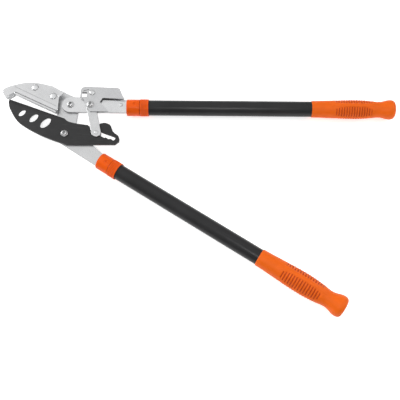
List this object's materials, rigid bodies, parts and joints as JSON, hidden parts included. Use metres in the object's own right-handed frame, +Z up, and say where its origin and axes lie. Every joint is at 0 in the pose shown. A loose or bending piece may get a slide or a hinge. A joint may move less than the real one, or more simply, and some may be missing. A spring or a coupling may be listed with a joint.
{
  "type": "ratchet anvil lopper",
  "caption": "Long-handled anvil lopper with a compound ratchet link, hooked jaw, drilled blade and telescopic twist-lock handles.",
  "frame": {"origin": "on the surface the tool lies on, under the middle of its bounding box", "axes": "+X along the upper handle towards its grip, +Y across the jaws towards the anvil side, +Z up through the flat head, along all its pivots"},
  "size_m": [0.7064, 0.4156, 0.0388],
  "materials": {
    "jaw_chrome": "bright plated pressed steel",
    "bar_steel": "zinc plated, satin",
    "fastener_steel": "bright zinc",
    "spring_steel": "drawn wire",
    "blade_coating": "black non-stick coating, satin",
    "tube_black": "black powder coating, semi-gloss",
    "inner_tube": "anodised",
    "orange_plastic": "semi-gloss",
    "orange_grip": "satin soft plastic",
    "black_plastic": "matt"
  },
  "bodies": {
    "frame": {"jaw_frame": "jaw_chrome", "anvil_block": "jaw_chrome", "jaw_cheek": "jaw_chrome", "cheek_rivet_1": "jaw_chrome", "cheek_rivet_2": "jaw_chrome", "blade_bolt": "fastener_steel", "blade_washer": "fastener_steel", "blade_nut": "fastener_steel", "arm_bolt": "fastener_steel", "arm_washer": "fastener_steel", "arm_nut": "fastener_steel", "lower_ferrule": "orange_plastic", "lower_ferrule_pin": "orange_plastic", "lower_inner_tube": "inner_tube", "lower_guide_bush": "black_plastic"},
    "blade": {"blade": "blade_coating"},
    "arm": {"upper_arm": "bar_steel", "tang_rivet": "fastener_steel", "link_bolt": "fastener_steel", "link_washer": "fastener_steel", "link_nut": "fastener_steel", "spring_housing": "bar_steel", "spring_post": "fastener_steel", "link_spring": "spring_steel", "upper_ferrule": "orange_plastic", "upper_ferrule_pin": "orange_plastic", "upper_inner_tube": "inner_tube", "upper_guide_bush": "black_plastic"},
    "link": {"link_front": "bar_steel", "link_back": "bar_steel", "ratchet_pin": "fastener_steel"},
    "upper_handle": {"upper_outer_tube": "tube_black", "upper_collet": "black_plastic", "upper_grip": "orange_grip"},
    "upper_ring": {"upper_lock_ring": "orange_plastic"},
    "lower_handle": {"lower_outer_tube": "tube_black", "lower_collet": "black_plastic", "lower_grip": "orange_grip"},
    "lower_ring": {"lower_lock_ring": "orange_plastic"}
  },
  "joints": [
    {"name": "handle_swing", "type": "hinge", "parent": "frame", "child": "arm", "pos_m": [-0.22967, 0.16626, 0.0242], "axis": [0, 0, 1], "range_deg": [-8.5, 35]},
    {"name": "blade_swing", "type": "hinge", "parent": "frame", "child": "blade", "pos_m": [-0.23607, 0.10856, 0.0242], "axis": [0, 0, 1], "range_deg": [-5.5, 22.7]},
    {"name": "link_swing", "type": "hinge", "parent": "arm", "child": "link", "pos_m": [-0.19297, 0.16416, 0.0242], "axis": [0, 0, 1], "range_deg": [-35.1, 8.6]},
    {"name": "upper_extension", "type": "slide", "parent": "arm", "child": "upper_handle", "axis": [1, 0, 0], "range_m": [0, 0.2]},
    {"name": "upper_ring_twist", "type": "hinge", "parent": "upper_handle", "child": "upper_ring", "pos_m": [-0.12857, 0.16426, 0.0194], "axis": [1, 0, 0], "range_deg": [0, 60]},
    {"name": "lower_extension", "type": "slide", "parent": "frame", "child": "lower_handle", "axis": [0.849, -0.5284, 0], "range_m": [0, 0.2]},
    {"name": "lower_ring_twist", "type": "hinge", "parent": "lower_handle", "child": "lower_ring", "pos_m": [-0.17042, 0.0598, 0.0194], "axis": [0.849, -0.5284, 0], "range_deg": [0, 60]}
  ],
  "couplings": [
    {"joint": "blade_swing", "follows": "handle_swing", "ratio": 0.647},
    {"joint": "link_swing", "follows": "handle_swing", "ratio": -1}
  ]
}
